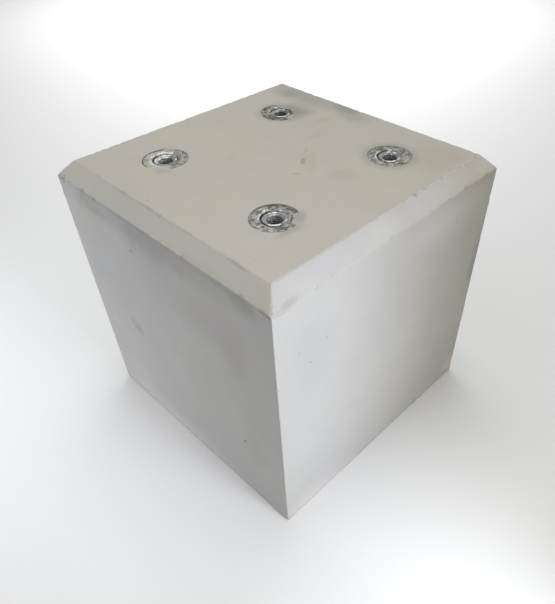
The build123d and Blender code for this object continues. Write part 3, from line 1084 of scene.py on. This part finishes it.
def ring_piece(kind, name, points, rows, marks):
    """The mesh of one socket's plate or tube, with its marks, as a piece that stands for its CAD node."""
    mesh = bpy.data.meshes.new(f"{kind}_{name}")
    mesh.from_pydata(points.tolist(), [], rows.tolist())
    finish_mesh(mesh, marks)
    add_piece(f"{kind}_{name}", mesh, f"socket_{kind}_{name}")
    return mesh


ring_shares = np.linspace(0, 1, plate_rings)
plate_meshes = []
for number, (name, centre) in enumerate(sockets.items()):
    seed = 80 + 10 * number
    rings = []  # radii, heights and the three marks
    for share in ring_shares:
        radius = plate_radius + share * (hole_edge - plate_radius)
        flat = unit_ring * radius[:, None]
        spots = np.column_stack((flat, np.zeros(ring_steps)))
        uneven = two_waves(spots, 2.6 * mm, 1.0 * mm, 0.6, seed)
        cement = np.zeros(ring_steps)
        for x, y, length, width, turn in cement_blobs[name]:
            turn = math.radians(turn)
            away = flat - np.array((x, y)) * mm
            along = (away[:, 0] * math.cos(turn) + away[:, 1] * math.sin(turn)) / (length / 2 * mm)
            across = (away[:, 1] * math.cos(turn) - away[:, 0] * math.sin(turn)) / (width / 2 * mm)
            cement = np.maximum(cement, smooth_step(np.hypot(along, across) + 0.9 * uneven, 1.35, 0.7))
        # Painted highlight: bright spots near the hole, standing in for glints of light.
        painted_highlight = arcs(plate_painted_highlights[name], radius, 0.5) * smooth_step(uneven, -0.42, -0.1)
        from_lip = radius - lips[name]
        tongue = smooth_step(lip_radius - lips[name], 0.4 * mm, 2 * mm)
        cover = tongue * smooth_step(from_lip, -3 * mm + 2 * mm * uneven, -1 * mm)
        cement = np.maximum(cement, cover)
        # The plate's own spotty dirt, the painted shade of its seam, and the darker arcs.
        spotty = wander(spots, 2.6 * mm, seed + 2) + 0.5 * uneven
        shade_and_dirt = smooth_step(spotty, 0.85, 0.2) + dirty_share[name] - 0.35
        # Painted shade in the seam under the lip's edge.
        painted_seam_shade = smooth_step(from_lip, -1.5 * mm, -0.6 * mm) * (1.0 + uneven) * seam_shade[name]
        shade_and_dirt = np.maximum(shade_and_dirt * (1 - tongue), painted_seam_shade * (1 - tongue))
        shade_and_dirt = np.maximum(shade_and_dirt, arcs(dark_arcs[name], radius, 0.6) * smooth_step(uneven, -0.7, -0.1))
        drop = plate_waves * wander(spots, 1.6 * mm, seed + 3) + plate_sinking
        edge = rounded_edge if share in (0, 1) else 0
        lift = cement_thickness * cement * (0.7 + 0.3 * wander(spots, 0.8 * mm, seed + 4))
        # The steel stands a little higher under a painted highlight.
        lift += highlight_lift * painted_highlight
        in_sight = smooth_step(-from_lip, -0.3 * mm, 0.5 * mm)
        height = np.minimum(plate_top - drop - edge + lift * in_sight, top - skin_clearance)
        rings.append((radius, height, cement, painted_highlight, np.clip(shade_and_dirt, 0, 1)))
    rings += [(hole_edge, plate_underside, 0, 0, 1), (plate_radius, plate_underside, 0, 0, 1)]
    points, rows = ring_surface([ring[:2] for ring in rings], centre, loop=True)
    marks = {}
    for column, mark in ((2, "cement"), (3, "painted_highlight"), (4, "shade_and_dirt")):
        marks[mark] = np.concatenate([whole_ring * ring[column] for ring in rings])
    plate_meshes.append(ring_piece("plate", name, points, rows, marks))

# Shader group: dull zinc on steel, as spangled colour, roughness and height, with painted highlights that
# stand in for glints, and darker where dirt and painted shade lie.
zinc_skin, given, result = new_group(
    "zinc_skin",
    {
        "Position": ("Vector", (0, 0, 0)),
        "Dull": ("Color", (0.2, 0.2, 0.21, 1)),
        "Pale": ("Color", (0.4, 0.4, 0.42, 1)),
        "Bright": ("Color", (0.85, 0.85, 0.84, 1)),
        "Highlight": ("Float", 0.0),
        "ShadeAndDirt": ("Float", 0.0),
    },
    {"Color": "Color", "Roughness": "Float", "Height": "Float"},
)
spangle = noise(given["Position"], 330.0, 4.0, 0.6, 0.5)
speck = noise(given["Position"], 1300.0, 2.0, 0.6)
blend = ramp(calculate("ADD", spangle, fade(speck, 0.4)), 0.5, 0.9)
zinc_colour = mix_colour(blend, given["Dull"], given["Pale"])
# Dirt and painted shade darken the zinc.
zinc_colour = mix_colour(given["ShadeAndDirt"], zinc_colour, tinted(zinc_colour, (0.34, 0.335, 0.31)))
# Painted highlights turn the zinc to the bright colour.
zinc_colour = mix_colour(given["Highlight"], zinc_colour, given["Bright"])
roughness = calculate("ADD", ramp(spangle, 0.3, 0.7, 0.42, 0.62), fade(given["ShadeAndDirt"], 0.3))
polished = calculate("SUBTRACT", roughness, fade(given["Highlight"], 0.2))
rise = calculate("ADD", spangle, fade(speck, 0.5))
fill_inputs(result, {"Color": zinc_colour, "Roughness": polished, "Height": rise})

plate_steel, plate_shader = new_material("smeared_plate_steel")
position = position_in(plate_steel)
cement_mark = mark_in(plate_steel, "cement")
painted_highlight_mark = mark_in(plate_steel, "painted_highlight")
shade_and_dirt_mark = mark_in(plate_steel, "shade_and_dirt")
dull_zinc = {"Dull": (0.17, 0.17, 0.168), "Pale": (0.40, 0.395, 0.395), "Bright": (0.86, 0.86, 0.85)}
zinc = place_group(zinc_skin, {"Position": position, "Highlight": painted_highlight_mark, "ShadeAndDirt": shade_and_dirt_mark, **dull_zinc})
grain = place_group(cement_grain, {"Position": position, "Clouds": 0.1, "Sand": 0.08})
cement_colour = tinted(cement_beige, grain["Tint"])
film_noise = noise(position, 330.0, 5.0, 0.7, 1.2)
smear = fade(ramp(film_noise, 0.40, 0.62), 0.7)
patchy = calculate("MULTIPLY", cement_mark, ramp(film_noise, 0.3, 0.5, 0.7, 1.0))
covered = calculate("MAXIMUM", patchy, smear)
covered = calculate("MINIMUM", covered, calculate("SUBTRACT", 1.1, shade_and_dirt_mark))
colour = mix_colour(covered, zinc["Color"], cement_colour)
# Cement and painted highlights make it less metallic, so that the highlights stay white from every side.
metal = calculate("SUBTRACT", 0.5, fade(calculate("MAXIMUM", covered, painted_highlight_mark), 0.45))
roughness = add_node("ShaderNodeMix", {0: covered, 2: zinc["Roughness"], 3: 0.88}).outputs[0]
normal = bumped(zinc["Height"], 0.7, 0.12 * mm)
fill_inputs(plate_shader, {"Base Color": colour, "Metallic": metal, "Roughness": roughness, "Normal": normal})
for mesh in plate_meshes:
    mesh.materials.append(plate_steel)

# Socket tubes: a threaded steel tube in the middle of each plate, squeezed onto the anchor bar lower down.
# Zinc coated. Its mouth was knocked by bolts; the bright places on its rim and in its mouth are painted
# highlights, and it takes painted shade further in.
thread_pitch = 2 * mm
thread_crest = 6.9 * mm
thread_root = 8.0 * mm
mouth_radius = 8.5 * mm
mouth_depth = 1.6 * mm
deepest_knock = 0.22 * mm
rim_roughness = 0.05 * mm
fine_turns = 8  # turns of thread near the mouth that have the finer mesh
fine_rows, plain_rows = 12, 6  # rows of the mesh to each turn
# Painted highlights on the rim: angle, half spread and strength.
rim_painted_highlights = {
    "front": [(214, 26, 0.9), (242, 18, 1.0), (300, 18, 0.5), (48, 15, 1.0), (76, 12, 0.5)],
    "left": [(62, 20, 1.0), (34, 14, 0.9), (90, 12, 0.4), (140, 26, 0.8), (178, 18, 0.6), (318, 12, 0.9)],
    "right": [(214, 20, 1.0), (241, 18, 1.0), (280, 16, 0.5), (7, 16, 1.0), (46, 16, 0.9), (180, 10, 0.5)],
    "back": [(223, 24, 1.0), (250, 22, 0.8), (292, 24, 0.5), (25, 14, 1.0), (52, 14, 0.8)],
}
# Painted highlights inside the mouth, where its far wall catches the light: angle, half spread and strength.
bore_painted_highlights = {
    "front": [(88, 30, 0.6), (48, 12, 0.5)],
    "left": [(100, 44, 1.0), (48, 26, 0.8)],
    "right": [(58, 24, 0.5), (24, 10, 0.4)],
    "back": [(64, 10, 0.3)],
}
# How much darker each tube is all over.
bore_darkening = {"front": 0.1, "left": 0.0, "right": 0.0, "back": 0.0}
# Painted shade on each bore's wall: angle, half spread and strength.
wall_painted_shade = {
    "front": (-30, 105, 0.5),
    "left": (-30, 105, 0.5),
    "right": (5, 80, 0.8),
    "back": (10, 80, 0.95),
}
thread_start = tube_high - mouth_depth
thread_end = bar_high
fine_end = thread_start - fine_turns * thread_pitch
fine_heights = np.arange(thread_start, fine_end, -thread_pitch / fine_rows)
plain_count = round((fine_end - thread_end) / thread_pitch * plain_rows) + 1
plain_heights = np.linspace(fine_end, thread_end, plain_count)
tube_meshes = []
for number, (name, centre) in enumerate(sockets.items()):
    seed = 120 + 10 * number
    rim = np.column_stack((unit_ring * tube_radius, np.zeros(ring_steps)))
    knocks = deepest_knock * smooth_step(wander(rim, 2.4 * mm, seed), 0.45, 0.9)
    knocks += rim_roughness * wander(rim, 0.8 * mm, seed + 1)
    bright = strongest(rim_painted_highlights[name]) * (0.75 + 0.25 * wander(rim, 1.1 * mm, seed + 2))
    inner = mouth_radius + 0.2 * mm * (wander(rim, 3.0 * mm, seed + 3) - 0.5)
    rings = [  # radii, heights and how far the rim's painted highlights reach there
        (tube_radius, tube_high - 1.2 * mm, 0),
        (tube_radius, tube_high - 0.35 * mm - knocks, 0.1),
        (tube_radius - 0.15 * mm, tube_high - 0.12 * mm - knocks, 0.6),
        (tube_radius - 0.4 * mm, tube_high - 0.3 * knocks, 1.0),
        (tube_radius - 0.8 * mm, tube_high - 0.5 * knocks, 1.0),
        (inner + 0.55 * mm, tube_high - 0.6 * knocks, 0.9),
        (inner + 0.15 * mm, tube_high - 0.08 * mm - knocks, 0.5),
        (inner - 0.1 * mm, tube_high - 0.3 * mm - knocks, 0.2),
        (inner * 0.5 + thread_crest * 0.5 + 0.1 * mm, tube_high - mouth_depth * 0.6, 0),
    ]
    for height in np.concatenate((fine_heights, plain_heights)):
        phase = (height / thread_pitch - ring_angles / (2 * math.pi)) % 1
        flank = np.clip(2.6 * np.abs(phase - 0.5) - 0.15, 0, 1)
        run_in = smooth_step(thread_start - height, -0.1 * mm, 0.9 * mm)
        run_out = smooth_step(height - thread_end, 0, 2 * mm)
        rings.append((thread_crest + (thread_root - thread_crest) * flank * (run_in * run_out), height, 0))
    rings += [
        (bar_radius, thread_end, 0),
        (bar_radius, tube_low, 0),
        (crimp_radius, tube_low, 0),
        (crimp_radius, crimp_top, 0),
        (tube_radius, crimp_top, 0),
    ]
    points, rows = ring_surface([ring[:2] for ring in rings], centre, loop=True)
    from_axis = np.hypot(*(points[:, :2] - centre).T)
    sunk = tube_high - points[:, 2]
    in_root = smooth_step(from_axis, thread_crest + 0.15 * mm, thread_root - 0.35 * mm) * (sunk > mouth_depth)
    # Darker all over by each tube's share, with painted shade deeper in the bore and in the roots of the
    # thread.
    shade_and_dirt = bore_darkening[name] + 0.2 * smooth_step(sunk, 6 * mm, 24 * mm) + 0.65 * in_root
    # Painted shade on one side of the bore's wall, near the mouth.
    angle, spread, strength = wall_painted_shade[name]
    painted_wall_shade = strength * np.tile(angle_share(angle, spread), len(rings))
    painted_wall_shade *= (from_axis < tube_radius - 0.2 * mm) * (1 - 0.8 * smooth_step(sunk, 4 * mm, 8 * mm))
    # Painted shade on the tube's outer edge beside the dark gap, less under the rim's painted highlights.
    outer_edge = smooth_step(from_axis, tube_radius - 0.6 * mm, tube_radius - 0.2 * mm)
    outer_painted_shade = outer_edge * np.tile(1 - 0.6 * bright, len(rings))
    # The rim is darker where it has no painted highlight.
    rim_darkening = 0.45 * (sunk < 0.6 * mm) * np.tile(1 - bright, len(rings))
    shade_and_dirt = np.max((shade_and_dirt, painted_wall_shade, outer_painted_shade, rim_darkening), axis=0)
    # Painted highlights on the rim, then in patches on the mouth's wall.
    painted_highlight = np.concatenate([bright * ring[2] for ring in rings])
    in_mouth = smooth_step(sunk, 7 * mm, 3 * mm) * smooth_step(sunk, 0.2 * mm, 1 * mm)
    on_wall = (from_axis < mouth_radius) * in_mouth
    patches = smooth_step(wander(points, 1.6 * mm, seed + 4), 0.35, 0.65) * (1 - 0.6 * in_root)
    painted_highlight = np.maximum(painted_highlight, np.tile(strongest(bore_painted_highlights[name]), len(rings)) * on_wall * patches)
    tube_meshes.append(ring_piece("tube", name, points, rows, {"painted_highlight": painted_highlight, "shade_and_dirt": shade_and_dirt}))

tube_steel, tube_shader = new_material("threaded_tube_steel")
position = position_in(tube_steel)
painted_highlight_mark = mark_in(tube_steel, "painted_highlight")
shade_and_dirt_mark = mark_in(tube_steel, "shade_and_dirt")
clean_zinc = {"Dull": (0.30, 0.30, 0.298), "Pale": (0.58, 0.58, 0.57), "Bright": (0.95, 0.95, 0.94)}
zinc = place_group(zinc_skin, {"Position": position, "Highlight": painted_highlight_mark, "ShadeAndDirt": shade_and_dirt_mark, **clean_zinc})
# The tube is less metallic where dirt, painted shade and painted highlights lie.
metal = calculate("SUBTRACT", 0.65, fade(calculate("MAXIMUM", shade_and_dirt_mark, painted_highlight_mark), 0.6))
normal = bumped(zinc["Height"], 0.6, 0.08 * mm)
fill_inputs(
    tube_shader,
    {"Base Color": zinc["Color"], "Roughness": zinc["Roughness"], "Metallic": metal, "Normal": normal},
)
for mesh in tube_meshes:
    mesh.materials.append(tube_steel)

# Anchor bars: a plain round bar squeezed into the foot of each tube, with a round foot forged on it.
# Hot-rolled steel with its scale on, wholly inside the concrete but for its end at the bottom of the tube.
bar_steel, bar_shader = new_material("rolled_bar_steel")
scale_noise = noise(position_in(bar_steel), 260.0, 5.0, 0.6, 0.4)
colour = mix_colour(ramp(scale_noise, 0.4, 0.65), (0.075, 0.072, 0.07), (0.17, 0.11, 0.07))
roughness = ramp(scale_noise, 0.35, 0.65, 0.45, 0.8)
metal = ramp(scale_noise, 0.65, 0.35, 0.3, 0.8)
normal = bumped(scale_noise, 0.6, 0.15 * mm)
fill_inputs(bar_shader, {"Base Color": colour, "Roughness": roughness, "Metallic": metal, "Normal": normal})
for name in sockets:
    for material_slot in frame["nodes"][f"anchor_bar_{name}"].material_slots:
        material_slot.material = bar_steel
